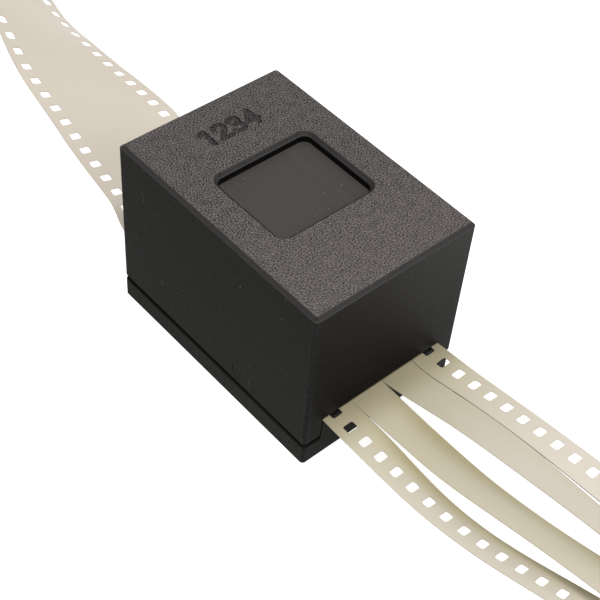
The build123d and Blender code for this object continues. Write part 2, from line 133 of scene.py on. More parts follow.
def top_shape(x, y):
    """height of the top, then painted highlight and shade for the grain and digits, rim mask and rim coordinate"""
    d_out = sd_rounded(x, y, HX, HY, CORNER_R)                       # 0 at the outer edge
    d_top = sd_rounded(x, y, HX - TOP_CH, HY - TOP_CH, TOP_R)        # 0 at the face's edge
    d_win = sd_rounded(x, y, WIN_X / 2, WIN_Y / 2, WIN_R)
    fall = np.where(d_top > 0, d_top / np.maximum(d_top - d_out, 1e-6), 0)
    z = H - TOP_CH * np.clip(fall, 0, 1) - np.maximum(0, -d_win)
    flat = smooth01((0.10 - d_top) / 0.30) * smooth01((d_win + 0.08) / 0.25)
    g = sample(grain, GX, GY, GRAIN_STEP, x, y)
    gb = sample(grain_b, GX, GY, GRAIN_STEP, x, y)
    z = z + flat * (0.07 * g - 0.07)
    # a fine bead where each bevel meets the wall below it
    z = z + 0.045 * np.exp(-((d_out + 0.12) / 0.05) ** 2)
    z = z + 0.030 * np.exp(-((d_win + WIN_CH - 0.12) / 0.05) ** 2)
    arc_o, arc_w = rim_arc(x, y, HX, HY, CORNER_R), rim_arc(x, y, WIN_X / 2, WIN_Y / 2, WIN_R)
    band_o = smooth01((d_top + 0.02) / 0.12) * smooth01((-d_out - 0.14) / 0.06)
    band_w = smooth01((-d_win + 0.02) / 0.12) * smooth01((d_win + WIN_CH - 0.14) / 0.06)
    z = z - 0.012 * (band_o + band_w) * (1 + gb)
    dd = digit_distance(x, y)
    z = z - (MARK_DEPTH - 0.03) * smooth01((0.05 - dd) / 0.14)
    # lighter on the grain's peaks and darker in its valleys: painted highlight and painted shade
    cav = np.where(flat > 0, 0.5 + 0.5 * g * flat, 0.5)
    # darker inside the recessed digits and along their edges: painted shade
    cav = cav * (1 - 0.45 * np.exp(-((dd + 0.02) / 0.16) ** 2)) * np.where(dd < 0.02, 0.46, 1.0)
    return z, np.clip(cav, 0, 1), band_o + band_w, np.where(d_win < 0.2, arc_w, arc_o), flat


def build_cover():
    bm = bmesh.new()
    bm.from_mesh(NODES["cover_shell"].data)
    layers = {k: bm.verts.layers.float.new(k) for k in ("cavity", "band", "arc", "field")}
    bmesh.ops.remove_doubles(bm, verts=bm.verts, dist=2e-6)
    for v in bm.verts:
        v[layers["cavity"]] = 0.5
    lip = (H - TOP_CH) * MM - 4e-6
    gone = [f for f in bm.faces if all(v.co.z > lip for v in f.verts)]
    bmesh.ops.delete(bm, geom=gone, context="FACES")
    rim = [e for e in bm.edges if e.is_boundary and all(abs(v.co.z - (H - TOP_CH) * MM) < 5e-6 for v in e.verts)]
    verts = list({v for e in rim for v in e.verts})
    for f in bm.faces:
        f.smooth = True
        f.material_index = 0
    index = {v: i for i, v in enumerate(verts)}
    pts = [(v.co.x / MM, v.co.y / MM) for v in verts]
    edges = [(index[e.verts[0]], index[e.verts[1]]) for e in rim]
    step = 0.185
    gx, gy = np.meshgrid(np.arange(-HX, HX + step, step), np.arange(-HY, HY + step, step * 0.87))
    gx[1::2] += step / 2
    gx, gy = gx.ravel(), gy.ravel()
    d_top = sd_rounded(gx, gy, HX - TOP_CH, HY - TOP_CH, TOP_R)
    d_win = sd_rounded(gx, gy, WIN_X / 2, WIN_Y / 2, WIN_R)
    keep = (d_top < -0.16) & (d_win > 0.16)
    keep &= np.abs(digit_distance(gx, gy)) > 0.13
    grid = list(zip(gx[keep].tolist(), gy[keep].tolist()))

    def ring(hx, hy, r, spacing, phase):
        pts_r = []
        r = max(r, 0.04)
        for qx, qy, a0 in ((1, 1, 0), (-1, 1, 90), (-1, -1, 180), (1, -1, 270)):
            n = max(3, int(r * math.pi / 2 / 0.12))
            for i in range(n + 1):
                a = math.radians(a0 + 90 * i / n)
                pts_r.append((qx * (hx - r) + r * math.cos(a), qy * (hy - r) + r * math.sin(a)))
        out = []
        for (ax, ay), (bx, by) in zip(pts_r, pts_r[1:] + pts_r[:1]):
            n = max(1, int(math.hypot(bx - ax, by - ay) / spacing))
            out += [(ax + (i + phase) / n * (bx - ax), ay + (i + phase) / n * (by - ay)) for i in range(n)]
        return out

    # rings of points along both bevels, closer than the field's grid
    extra = []
    for k, off in enumerate((0.07, 0.12, 0.20, 0.42, 0.66, 0.83, 0.90, 0.98)):
        f = min(off / TOP_CH, 1.0)
        extra += ring(HX - off, HY - off, CORNER_R + (TOP_R - CORNER_R) * f, 0.2, 0.5 * (k % 2))
    for k, off in enumerate((0.07, 0.12, 0.20, 0.42, 0.66, 0.83, 0.90, 0.98)):
        extra += ring(WIN_X / 2 - WIN_CH + off, WIN_Y / 2 - WIN_CH + off, WIN_R - WIN_CH + off, 0.2, 0.5 * (k % 2))
    fine = 0.07
    fx, fy = np.meshgrid(np.arange(-26, -18, fine), np.arange(-9, 9.5, fine))
    fx, fy = fx.ravel(), fy.ravel()
    near = np.abs(digit_distance(fx, fy)) < 0.125
    extra += list(zip(fx[near].tolist(), fy[near].tolist()))
    allp = pts + grid + extra
    out_v, _, out_f, orig, _, _ = delaunay_2d_cdt([Vector(p) for p in allp], edges, [], 0, 1e-5)
    xs = np.array([v.x for v in out_v]); ys = np.array([v.y for v in out_v])
    zs, cav, band, arc, flat = top_shape(xs, ys)
    new = []
    for i, o in enumerate(orig):
        hit = next((k for k in o if k < len(pts)), None)
        new.append(verts[hit] if hit is not None else None)
    used = set()
    faces = []
    for f in out_f:
        cx, cy = sum(xs[i] for i in f) / 3, sum(ys[i] for i in f) / 3
        if sd_rounded(cx, cy, WIN_X / 2 - WIN_CH, WIN_Y / 2 - WIN_CH, WIN_R - WIN_CH) < 0.004 and all(new[i] is not None for i in f):
            continue
        if abs(cx) < WIN_X / 2 - WIN_CH - 0.02 and abs(cy) < WIN_Y / 2 - WIN_CH - 0.02 and sd_rounded(cx, cy, WIN_X / 2 - WIN_CH, WIN_Y / 2 - WIN_CH, WIN_R - WIN_CH) < -0.02:
            continue
        faces.append(f); used.update(f)
    for i in used:
        if new[i] is None:
            v = bm.verts.new((xs[i] * MM, ys[i] * MM, zs[i] * MM))
            new[i] = v
            v[layers["cavity"]], v[layers["band"]] = float(cav[i]), float(band[i])
            v[layers["arc"]], v[layers["field"]] = float(arc[i]), float(flat[i])
    for f in faces:
        try:
            face = bm.faces.new([new[i] for i in f])
        except ValueError:
            continue
        face.material_index = 1
        face.smooth = True
    bm.normal_update()
    for f in bm.faces:
        if f.material_index == 1 and f.normal.z < 0:
            f.normal_flip()
    me = bpy.data.meshes.new("cover_body")
    # hard edges on the moulded body only, and where the top begins
    for e in bm.edges:
        mats = {f.material_index for f in e.link_faces}
        if len(e.link_faces) == 2 and mats == {1}:
            e.smooth = True
        else:
            e.smooth = e.calc_face_angle(0.0) < math.radians(22)
    bm.to_mesh(me)
    bm.free()
    ob = bpy.data.objects.new("cover_body", me)
    bpy.context.scene.collection.objects.link(ob)
    return ob


# ---------------------------------------------------------------------- film
def ribbon(p0, t0, d0, knots, bend, twist, drift, length, ds=0.25):
    n = int(round(length / ds)) + 1
    s = np.linspace(0, length, n)
    kb, kt, kd = (np.interp(s, knots, a) for a in (bend, twist, drift))
    P, T, D, N = (np.zeros((n, 3)) for _ in range(4))
    p, t, d = np.array(p0, float), np.array(t0, float), np.array(d0, float)
    for i in range(n):
        nn = np.cross(t, d)
        P[i], T[i], D[i], N[i] = p, t, d, nn
        if i < n - 1:
            h = s[i + 1] - s[i]
            k, w, g = (kb[i] + kb[i + 1]) / 2, (kt[i] + kt[i + 1]) / 2, (kd[i] + kd[i + 1]) / 2
            t2 = t + h * (k * nn + g * d); t2 /= np.linalg.norm(t2)
            d2 = d + h * (w * nn - g * t); d2 -= (d2 @ t2) * t2; d2 /= np.linalg.norm(d2)
            p = p + h * (t + t2) / 2
            t, d = t2, d2
    return s, P, T, D, N


def perf_outline(sc, vc):
    a, b, r = PERF_B / 2, PERF_A / 2, PERF_R
    out = []
    for qx, qy, a0 in ((1, 1, 0), (-1, 1, 90), (-1, -1, 180), (1, -1, 270)):
        for i in range(6):
            t = math.radians(a0 + 90 * i / 5)
            out.append((sc + qx * (a - r) + r * math.cos(t), vc + qy * (b - r) + r * math.sin(t)))
    return out


def film_piece(name, outline, perfs, place, step_s=0.9, step_v=0.75):
    """a film strip with real holes: outline and holes in its own plane, then
    placed in space by place(s, v, side), side +1 for its upper face"""
    pts, edges = [], []

    def loop(ring, seg):
        dense = []
        for (ax, ay), (bx, by) in zip(ring, ring[1:] + ring[:1]):
            n = max(1, int(math.hypot(bx - ax, by - ay) / seg))
            dense += [(ax + (bx - ax) * i / n, ay + (by - ay) * i / n) for i in range(n)]
        k = len(pts)
        pts.extend(dense)
        edges.extend((k + i, k + (i + 1) % len(dense)) for i in range(len(dense)))

    loop(outline, 0.8)
    rings = [perf_outline(sc, vc) for sc, vc in perfs]
    for ring in rings:
        loop(ring, 5.0)
    o = np.array(outline)
    gx, gy = np.meshgrid(np.arange(o[:, 0].min() + step_s / 2, o[:, 0].max(), step_s),
                         np.arange(o[:, 1].min() + step_v / 2, o[:, 1].max(), step_v))
    gx, gy = gx.ravel(), gy.ravel()

    def inside(x, y, poly):
        r = np.zeros(np.shape(x), bool)
        for (ax, ay), (bx, by) in zip(poly, poly[1:] + poly[:1]):
            c = (ay > y) != (by > y)
            xi = (bx - ax) * (y - ay) / ((by - ay) if by != ay else 1e-12) + ax
            r ^= c & (x < xi)
        return r

    def off_holes(x, y, margin):
        ok = np.ones(np.shape(x), bool)
        for sc, vc in perfs:
            ok &= (np.abs(x - sc) > PERF_B / 2 + margin) | (np.abs(y - vc) > PERF_A / 2 + margin)
        return ok

    keep = inside(gx, gy, outline) & off_holes(gx, gy, 0.2)
    # not too near the outline
    for (ax, ay), (bx, by) in zip(outline, outline[1:] + outline[:1]):
        ex, ey = bx - ax, by - ay
        t = np.clip(((gx - ax) * ex + (gy - ay) * ey) / (ex * ex + ey * ey), 0, 1)
        keep &= np.hypot(gx - ax - t * ex, gy - ay - t * ey) > 0.25
    allp = pts + list(zip(gx[keep].tolist(), gy[keep].tolist()))
    out_v, _, out_f, _, _, _ = delaunay_2d_cdt([Vector(p) for p in allp], edges, [], 0, 1e-5)
    S = np.array([v.x for v in out_v]); V = np.array([v.y for v in out_v])
    F = np.array([list(f) for f in out_f])
    cs, cv = S[F].mean(1), V[F].mean(1)
    ok = inside(cs, cv, outline)
    for sc, vc in perfs:
        near = (np.abs(cs - sc) < PERF_B / 2 + 0.1) & (np.abs(cv - vc) < PERF_A / 2 + 0.1)
        if near.any():
            ring = perf_outline(sc, vc)
            ok[near] &= ~inside(cs[near], cv[near], ring)
    area = ((S[F[:, 1]] - S[F[:, 0]]) * (V[F[:, 2]] - V[F[:, 0]]) - (S[F[:, 2]] - S[F[:, 0]]) * (V[F[:, 1]] - V[F[:, 0]]))
    ok &= np.abs(area) > 1e-7
    F, area = F[ok], area[ok]
    F[area < 0] = F[area < 0][:, ::-1]
    used = np.unique(F)
    remap = -np.ones(len(S), int); remap[used] = np.arange(len(used))
    F, S, V = remap[F], S[used], V[used]
    top, bot = place(S, V, 1.0), place(S, V, -1.0)
    n = len(S)
    # the painted shade mask for the rolled-away side, stored as the curl attribute
    curl_shade = place(S, V, 0.0, True)
    count = {}
    for a, b, c in F:
        for e in ((a, b), (b, c), (c, a)):
            count[e] = count.get(e, 0) + 1
    border = [e for e in count if (e[1], e[0]) not in count]
    faces = [tuple(f) for f in F] + [tuple(f[::-1] + n) for f in F]
    side = [(b, a, a + n, b + n) for a, b in border]
    me = bpy.data.meshes.new(name)
    me.from_pydata(np.concatenate([top, bot]).tolist(), [], [tuple(int(i) for i in f) for f in faces + side])
    # flip everything if the placed upper face looks down
    me.update()
    cu = me.attributes.new("curl", "FLOAT", "POINT")
    cu.data.foreach_set("value", np.concatenate([curl_shade, curl_shade]).astype(np.float32))
    se = me.attributes.new("seam", "FLOAT", "POINT")             # mm from the edge on the -Y side
    se.data.foreach_set("value", np.concatenate([V - V.min(), V - V.min()]).astype(np.float32))
    me.polygons.foreach_set("use_smooth", [True] * len(me.polygons))
    low = o[:, 1].min() + 0.01
    me.polygons.foreach_set("material_index", [0] * len(faces) + [2 if V[a] < low and V[b] < low else 1 for a, b in border])
    bm = bmesh.new(); bm.from_mesh(me)
    bmesh.ops.recalc_face_normals(bm, faces=bm.faces)
    for e in bm.edges:
        e.smooth = e.calc_face_angle(0.0) < math.radians(50)
    bm.to_mesh(me); bm.free()
    ob = bpy.data.objects.new(name, me)
    bpy.context.scene.collection.objects.link(ob)
    return ob


KNOTS_OUT = [0, 8, 18, 30, 45, 60, 75, 90]
STRIP_LEN = 72.0
STRIPS = {
    "film_edge_strip_left": (
        -FILM_W / 2, -BLADE_PITCH,
        [-0.0055, -0.0083, 0.0005, 0.0122, 0.0085, -0.0007, -0.0019, -0.0018],
        [0.0095, -0.0063, -0.0206, -0.0101, 0.0006, 0.0045, 0.0003, 0.0003],
        [0.001, 0.0014, 0.001, 0.0009, 0.0005, 0.0001, 0, 0]),
    "film_centre_strip_left": (
        -BLADE_PITCH, 0,
        [0.0043, 0.0005, 0.0027, 0.0079, 0.0004, 0.0008, -0.0007, -0.0014],
        [-0.0114, -0.0134, -0.0075, -0.0124, -0.0032, 0.0092, 0.0084, 0.0083],
        [0, 0, 0, 0, 0, 0, 0, 0]),
    "film_centre_strip_right": (
        0, BLADE_PITCH,
        [0.0456, 0.0071, -0.0065, -0.0046, -0.0016, 0, -0.0005, -0.0006],
        [-0.0239, -0.006, -0.0058, -0.0043, -0.0115, -0.0057, -0.0056, -0.0056],
        [0.0005, -0.0001, -0.0001, 0, 0, 0, 0, 0]),
    "film_edge_strip_right": (
        BLADE_PITCH, FILM_W / 2,
        [0.0272, 0.0066, -0.0012, -0.0049, -0.0078, -0.0016, 0.0039, 0.0088],
        [0.0214, -0.0173, -0.005, 0.0005, 0.0067, 0.0044, -0.0005, -0.005],
        [0.0027, 0.0003, -0.0015, 0.0012, 0.0052, 0.0017, -0.0012, -0.0027]),
}
# how deep each strip curls across its width, at stations along it, in mm
CUP = {
    "film_edge_strip_left": ([0, 10, 25, 45, 72], [0, 0.25, 0.75, 0.8, 0.7]),
    "film_centre_strip_left": ([0, 10, 25, 45, 72], [0, 0.3, 0.8, 0.9, 0.8]),
    "film_centre_strip_right": ([0, 10, 25, 45, 72], [0, 0.05, 0.15, 0.2, 0.2]),
    "film_edge_strip_right": ([0, 10, 25, 45, 72], [0, 0.05, 0.1, 0.1, 0.1]),
}
# how strongly painted shade darkens each strip's rolled-away side
CURL_SHADE = {"film_edge_strip_left": 1.0, "film_centre_strip_left": 0.9, "film_centre_strip_right": 0.12, "film_edge_strip_right": 0.0}
FILM_PIECES = []


def build_strips():
    for name, (y0, y1, bend, twist, drift) in STRIPS.items():
        a0, a1 = abs(y0) < FILM_W / 2 - 0.1, abs(y1) < FILM_W / 2 - 0.1
        yc = ((y0 + a0 * CUT_GAP) + (y1 - a1 * CUT_GAP)) / 2
        s, P, T, D, N = ribbon((HX, yc, FILM_MID), (1, 0, 0), (0, 1, 0), KNOTS_OUT, bend, twist, drift, STRIP_LEN)
        half = ((y1 - a1 * CUT_GAP) - (y0 + a0 * CUT_GAP)) / 2
        lo, hi = -half, half
        w0, w1 = a0 * (WIDE_GAP - CUT_GAP), a1 * (WIDE_GAP - CUT_GAP)
        sa, sb, sc = CUT_X - HX, GAP_X - HX, GAP_X + 1 - HX
        outline = [(sa, lo + w0), (sb, lo + w0), (sc, lo), (STRIP_LEN, lo), (STRIP_LEN, hi), (sc, hi), (sb, hi - w1), (sa, hi - w1)]
        ring = []
        for q in outline:
            if not ring or math.hypot(q[0] - ring[-1][0], q[1] - ring[-1][1]) > 1e-6:
                ring.append(q)
        # drop points that lie on a straight edge
        outline = [q for i, q in enumerate(ring) if abs(
            (q[0] - ring[i - 1][0]) * (ring[(i + 1) % len(ring)][1] - q[1])
            - (q[1] - ring[i - 1][1]) * (ring[(i + 1) % len(ring)][0] - q[0])) > 1e-9]
        perfs = []
        for v in (-PERF_V, PERF_V):
            if y0 < v < y1:
                perfs = [(PERF_X0 - HX + PITCH * k, v - yc) for k in range(-9, 16)
                         if sa + 1.1 < PERF_X0 - HX + PITCH * k < STRIP_LEN - 1.1]
        cs, cd = CUP[name]

        def place(S, V, side, curl_shade=False):
            q = np.clip(S, 0, STRIP_LEN)
            # the painted shade mask for the rolled-away side
            if curl_shade:
                return CURL_SHADE[name] * smooth01(((V - lo) / (hi - lo) - 0.42) / 0.62) * smooth01(q / 16)
            p, d, n, t = (np.stack([np.interp(q, s, A[:, i]) for i in range(3)], 1) for A in (P, D, N, T))
            p = p + np.minimum(S, 0)[:, None] * np.array([1.0, 0, 0])
            w = (V - lo) / (hi - lo)                 # 0 at the left edge, 1 at the right
            depth = np.interp(q, cs, cd)
            # flat over the left two thirds, rolling down to the right (towards -Y)
            r = 1 - w
            curl = depth * np.where(r > 0.55, -((r - 0.55) / 0.45) ** 2, 0) + 0.25 * depth * (1 - (2 * w - 1) ** 2)
            curl = curl - 0.0
            return (p + V[:, None] * d + (curl + side * FILM_T / 2)[:, None] * n) * MM

        ob = film_piece(name + "_cut", outline, perfs, place)
        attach(ob, "film")
        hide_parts(name)
        FILM_PIECES.append(ob)


KNOTS_IN = [0, 4.9, 9, 14, 20, 28, 37, 47, 58, 72, 88, 110]
BACK_BEND = [0, 0, -0.0193, -0.0265, -0.0133, 0.0106, 0.0093, 0.0019, -0.0143, 0.0072, 0.0012, 0.0007]
BACK_TWIST = [0, 0, 0.0556, 0.0064, -0.0054, -0.0033, 0.0083, 0.0078, 0.0116,  0.0138, -0.0088, -0.0029]
BACK_DRIFT = [0, 0, 0.0009, 0.0008, 0, -0.0012, -0.0009, -0.0005, -0.0008,  0.0021, 0.0011, 0]
BACK_LEN = 95.0


def build_uncut():
    s, P, T, D, N = ribbon((-HX, 0, FILM_MID), (-1, 0, 0), (0, 1, 0), KNOTS_IN, BACK_BEND, BACK_TWIST, BACK_DRIFT, BACK_LEN)
    s0 = -(HX + CUT_X)
    half = FILM_W / 2
    outline = [(s0, -half), (BACK_LEN, -half), (BACK_LEN, half), (s0, half)]
    perfs = []
    for k in range(-12, 40):
        x = PERF_X0 - PITCH * k
        sc = -HX - x
        if s0 + 1.1 < sc < BACK_LEN - 1.1:
            perfs += [(sc, -PERF_V), (sc, PERF_V)]

    def place(S, V, side, curl_shade=False):
        if curl_shade:
            return 0 * S
        q = np.clip(S, 0, BACK_LEN)
        p, d, n = (np.stack([np.interp(q, s, A[:, i]) for i in range(3)], 1) for A in (P, D, N))
        p = p + np.minimum(S, 0)[:, None] * np.array([-1.0, 0, 0])
        return (p + V[:, None] * d - (side * FILM_T / 2)[:, None] * n) * MM if np.ndim(side) else \
            (p + V[:, None] * d - (side * FILM_T / 2) * n) * MM

    ob = film_piece("film_uncut_whole", outline, perfs, place, 1.1, 1.1)
    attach(ob, "film")
    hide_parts("film_uncut")
    FILM_PIECES.append(ob)


# ----------------------------------------------------------------- materials
def new_mat(name):
    m = bpy.data.materials.new(name)
    m.use_nodes = True
    nt = m.node_tree
    return m, nt, nt.nodes["Principled BSDF"]


def node(nt, kind, **kw):
    n = nt.nodes.new(kind)
    for k, v in kw.items():
        setattr(n, k, v)
    return n


def put(nt, socket, value):
    if isinstance(value, bpy.types.NodeSocket):
        nt.links.new(value, socket)
    else:
        socket.default_value = value


def coords(nt):
    return node(nt, "ShaderNodeTexCoord").outputs["Object"]


def scaled(nt, vec, scale):
    m = node(nt, "ShaderNodeMapping")
    put(nt, m.inputs["Vector"], vec)
    m.inputs["Scale"].default_value = scale
    return m.outputs["Vector"]


def noise(nt, vec, scale, detail=3.0, rough=0.5, distortion=0.0):
    n = node(nt, "ShaderNodeTexNoise")
    put(nt, n.inputs["Vector"], vec)
    n.inputs["Scale"].default_value = scale
    n.inputs["Detail"].default_value = detail
    n.inputs["Roughness"].default_value = rough
    n.inputs["Distortion"].default_value = distortion
    return n.outputs["Fac"]


def math_n(nt, op, a, b=0.0, c=0.0, clamp=False):
    n = node(nt, "ShaderNodeMath", operation=op, use_clamp=clamp)
    put(nt, n.inputs[0], a); put(nt, n.inputs[1], b); put(nt, n.inputs[2], c)
    return n.outputs[0]


def remap(nt, v, a, b, c, d, kind="SMOOTHSTEP"):
    n = node(nt, "ShaderNodeMapRange", interpolation_type=kind)
    put(nt, n.inputs["Value"], v)
    for k, x in (("From Min", a), ("From Max", b), ("To Min", c), ("To Max", d)):
        put(nt, n.inputs[k], x)
    return n.outputs["Result"]


def mix_rgb(nt, f, a, b):
    n = node(nt, "ShaderNodeMix", data_type="RGBA")
    put(nt, n.inputs[0], f); put(nt, n.inputs[6], a); put(nt, n.inputs[7], b)
    return n.outputs[2]


def times(nt, a, b):
    n = node(nt, "ShaderNodeMix", data_type="RGBA", blend_type="MULTIPLY")
    n.inputs[0].default_value = 1.0
    put(nt, n.inputs[6], a); put(nt, n.inputs[7], b)
    return n.outputs[2]


def bump(nt, height, dist, strength=1.0, normal=None):
    n = node(nt, "ShaderNodeBump")
    put(nt, n.inputs["Height"], height)
    n.inputs["Distance"].default_value = dist
    n.inputs["Strength"].default_value = strength
    if normal is not None:
        put(nt, n.inputs["Normal"], normal)
    return n.outputs["Normal"]


def rgb(r, g, b):
    return (r, g, b, 1.0)


def attribute(nt, name):
    return node(nt, "ShaderNodeAttribute", attribute_name=name).outputs["Fac"]


def scratch(nt, sep, x0, z0, x1, z1, w):
    """1 on a short line on the long side that faces -Y, 0 elsewhere; mm"""
    ex, ez = (x1 - x0) * MM, (z1 - z0) * MM
    ll = max(ex * ex + ez * ez, 1e-12)
    dx = math_n(nt, "SUBTRACT", sep.outputs["X"], x0 * MM)
    dz = math_n(nt, "SUBTRACT", sep.outputs["Z"], z0 * MM)
    dot = math_n(nt, "ADD", math_n(nt, "MULTIPLY", dx, ex / ll), math_n(nt, "MULTIPLY", dz, ez / ll), clamp=True)
    qx = math_n(nt, "SUBTRACT", dx, math_n(nt, "MULTIPLY", dot, ex))
    qz = math_n(nt, "SUBTRACT", dz, math_n(nt, "MULTIPLY", dot, ez))
    d2 = math_n(nt, "ADD", math_n(nt, "MULTIPLY", qx, qx), math_n(nt, "MULTIPLY", qz, qz))
    d = math_n(nt, "SQRT", d2)
    return remap(nt, d, 0.35 * w * MM, w * MM, 1.0, 0.0)


def add_all(nt, parts):
    out = parts[0]
    for q in parts[1:]:
        out = math_n(nt, "MAXIMUM", out, q)
    return out


SCUFFS = [(-24.4, 39.2, -23.9, 38.0, .10), (-23.9, 38.0, -23.7, 36.7, .10), (23.4, 45.8, 23.45, 45.85, .28), (22.7, 39.5, 22.8, 39.5, .20),
          (9.4, 37.4, 10.0, 38.6, .12), (2.2, 39.7, 2.5, 39.9, .14), (-17.9, 15.9, -17.5, 16.4, .12), (-17.5, 16.4, -17.1, 15.9, .12),
          (-9.7, 20.0, -9.7, 20.1, .18), (5.4, 19.5, 5.5, 19.5, .18), (23.9, 24.3, 24.0, 24.7, .12), (6.8, 30.6, 6.9, 30.7, .14),
          (-20.0, 35.6, -19.9, 35.7, .16), (13.9, 11.2, 14.1, 9.7, .13)]
# dents and cracks: a painted highlight on each lit lip, painted shade in each hollow
DENT_HIGHLIGHT = [(8.45, 12.0, 8.9, 9.2, .10), (10.5, 11.2, 10.2, 9.0, .10), (30.0, 3.0, 30.1, 1.2, .12), (30.6, 2.7, 30.6, 1.4, .10)]
DENT_SHADE = [(8.0, 12.0, 8.5, 9.2, .30), (10.9, 11.2, 10.6, 9.0, .24), (8.9, 8.8, 9.5, 7.7, .42), (9.5, 7.7, 10.1, 8.3, .38), (27.9, 3.3, 28.8, 4.4, .20), (28.8, 4.4, 30.1, 4.3, .20), (30.1, 4.3, 31.2, 3.1, .20)]


def printed_black(name, base=0.0058, rib=0.00072, rough=0.55, layer=0.014, marks=False, spec=0.04):
    m, nt, bs = new_mat(name)
    co = coords(nt)
    sep = node(nt, "ShaderNodeSeparateXYZ"); put(nt, sep.inputs[0], co)
    wob = noise(nt, scaled(nt, co, (60, 60, 900)), 1.0, 2.0)
    z = math_n(nt, "ADD", sep.outputs["Z"], math_n(nt, "MULTIPLY", wob, 0.00005))
    lines = math_n(nt, "SINE", math_n(nt, "MULTIPLY", z, 2 * math.pi / 0.0004))
    each = noise(nt, scaled(nt, co, (18, 18, 3200)), 1.0, 1.0)
    h = math_n(nt, "ADD", math_n(nt, "MULTIPLY", lines, 0.45), math_n(nt, "MULTIPLY", each, 1.8))
    n1 = bump(nt, h, layer * MM, 0.8)
    n2 = bump(nt, noise(nt, co, 1500.0, 3.0, 0.6), 0.012 * MM, 0.4, n1)
    # ribs where the nozzle turns the outer corners
    ax, ay = math_n(nt, "ABSOLUTE", sep.outputs["X"]), math_n(nt, "ABSOLUTE", sep.outputs["Y"])
    near = math_n(nt, "MULTIPLY", remap(nt, ax, 0.0308, 0.0318, 0, 1), remap(nt, ay, 0.0208, 0.0218, 0, 1))
    low = remap(nt, sep.outputs["Z"], 0.018, 0.027, 1, 0.22)
    cw = noise(nt, scaled(nt, co, (300, 300, 500)), 1.0, 2.0)
    zz = math_n(nt, "ADD", sep.outputs["Z"], math_n(nt, "MULTIPLY", cw, 0.0003))
    ribs = math_n(nt, "SINE", math_n(nt, "MULTIPLY", zz, 2 * math.pi / rib))
    ribh = math_n(nt, "MULTIPLY", math_n(nt, "MULTIPLY", near, low), ribs)
    n3 = bump(nt, ribh, 0.07 * MM, 0.9, n2)
    normal = n3
    tone = noise(nt, scaled(nt, co, (220, 220, 2600)), 1.0, 3.0, 0.6)
    col = mix_rgb(nt, remap(nt, tone, 0.3, 0.7, 0.0, 1.0), rgb(base * 0.92, base * 0.86, base * 0.74), rgb(base * 1.14, base * 1.06, base * 0.92))
    col = mix_rgb(nt, remap(nt, lines, -0.7, 0.7, 0.0, 0.42), col, rgb(base * 0.25, base * 0.24, base * 0.22))
    # painted reflection: a bluish tint on the rounded vertical corners
    corner_reflection = math_n(nt, "MULTIPLY", near, remap(nt, noise(nt, scaled(nt, co, (90, 90, 700)), 1.0, 2.0), 0.35, 0.65, 0.3, 1.0))
    col = mix_rgb(nt, corner_reflection, col, rgb(base * 1.0, base * 1.35, base * 1.4))
    # painted reflection: the exit face lighter toward the top and far corner; painted shade: the -Y side darker and
    # warmer toward the far end
    gx = math_n(nt, "ADD", math_n(nt, "MULTIPLY", remap(nt, sep.outputs["Z"], 0.012, 0.047, 0, 1, "LINEAR"), 0.50),
                math_n(nt, "MULTIPLY", remap(nt, sep.outputs["Y"], -0.0225, 0.0225, 0, 1, "LINEAR"), 0.42))
    gx = math_n(nt, "MULTIPLY", math_n(nt, "MULTIPLY", gx, gx), remap(nt, sep.outputs["X"], 0.0318, 0.0325, 0, 1))
    col = mix_rgb(nt, gx, col, rgb(base * 5.4, base * 5.2, base * 5.0))
    # painted shade on the -Y side, darkest and warmest at the far end
    deep = mix_rgb(nt, remap(nt, sep.outputs["X"], -0.034, 0.027, 0, 1), rgb(0.30, 0.26, 0.06), rgb(1.15, 1.12, 0.90))
    col = mix_rgb(nt, remap(nt, sep.outputs["Y"], -0.0224, -0.0218, 1, 0), col, times(nt, col, deep))
    # dust specks all round
    vor = node(nt, "ShaderNodeTexVoronoi"); put(nt, vor.inputs["Vector"], co)
    vor.inputs["Scale"].default_value = 260.0
    dot = remap(nt, vor.outputs["Distance"], 0.015, 0.045, 1.0, 0.0)
    some = remap(nt, noise(nt, co, 170.0, 1.0), 0.60, 0.66, 0.0, 0.35)
    col = mix_rgb(nt, math_n(nt, "MULTIPLY", dot, some), col, rgb(0.12, 0.115, 0.11))
    if marks:
        side = remap(nt, sep.outputs["Y"], -0.02235, -0.0222, 1.0, 0.0)
        light = math_n(nt, "MULTIPLY", add_all(nt, [scratch(nt, sep, *q) for q in SCUFFS]), side)
        hi = math_n(nt, "MULTIPLY", add_all(nt, [scratch(nt, sep, *q) for q in DENT_HIGHLIGHT]), side)
        dark = math_n(nt, "MULTIPLY", add_all(nt, [scratch(nt, sep, *q) for q in DENT_SHADE]), side)
        col = mix_rgb(nt, math_n(nt, "MULTIPLY", light, 0.5), col, rgb(0.075, 0.072, 0.068))
        # painted highlight on the dents' lit lips, painted shade inside the dents and cracks, over real bumps
        col = mix_rgb(nt, math_n(nt, "MULTIPLY", hi, 0.22), col, rgb(0.050, 0.050, 0.049))
        col = mix_rgb(nt, math_n(nt, "MULTIPLY", dark, 0.5), col, rgb(0.0012, 0.0012, 0.0012))
        normal = bump(nt, math_n(nt, "SUBTRACT", hi, math_n(nt, "MULTIPLY", dark, 0.9)), 0.12 * MM, 0.8, normal)
    put(nt, bs.inputs["Normal"], normal)
    put(nt, bs.inputs["Base Color"], col)
    put(nt, bs.inputs["Roughness"], remap(nt, noise(nt, co, 1200.0, 2.0), 0.3, 0.7, rough - 0.04, rough + 0.04))
    bs.inputs["IOR"].default_value = 1.46
    if marks:
        put(nt, bs.inputs["Specular IOR Level"], math_n(nt, "MULTIPLY", math_n(nt, "SUBTRACT", 1.0, math_n(nt, "MULTIPLY", dark, 0.45)), spec))
    else:
        bs.inputs["Specular IOR Level"].default_value = spec
    return m


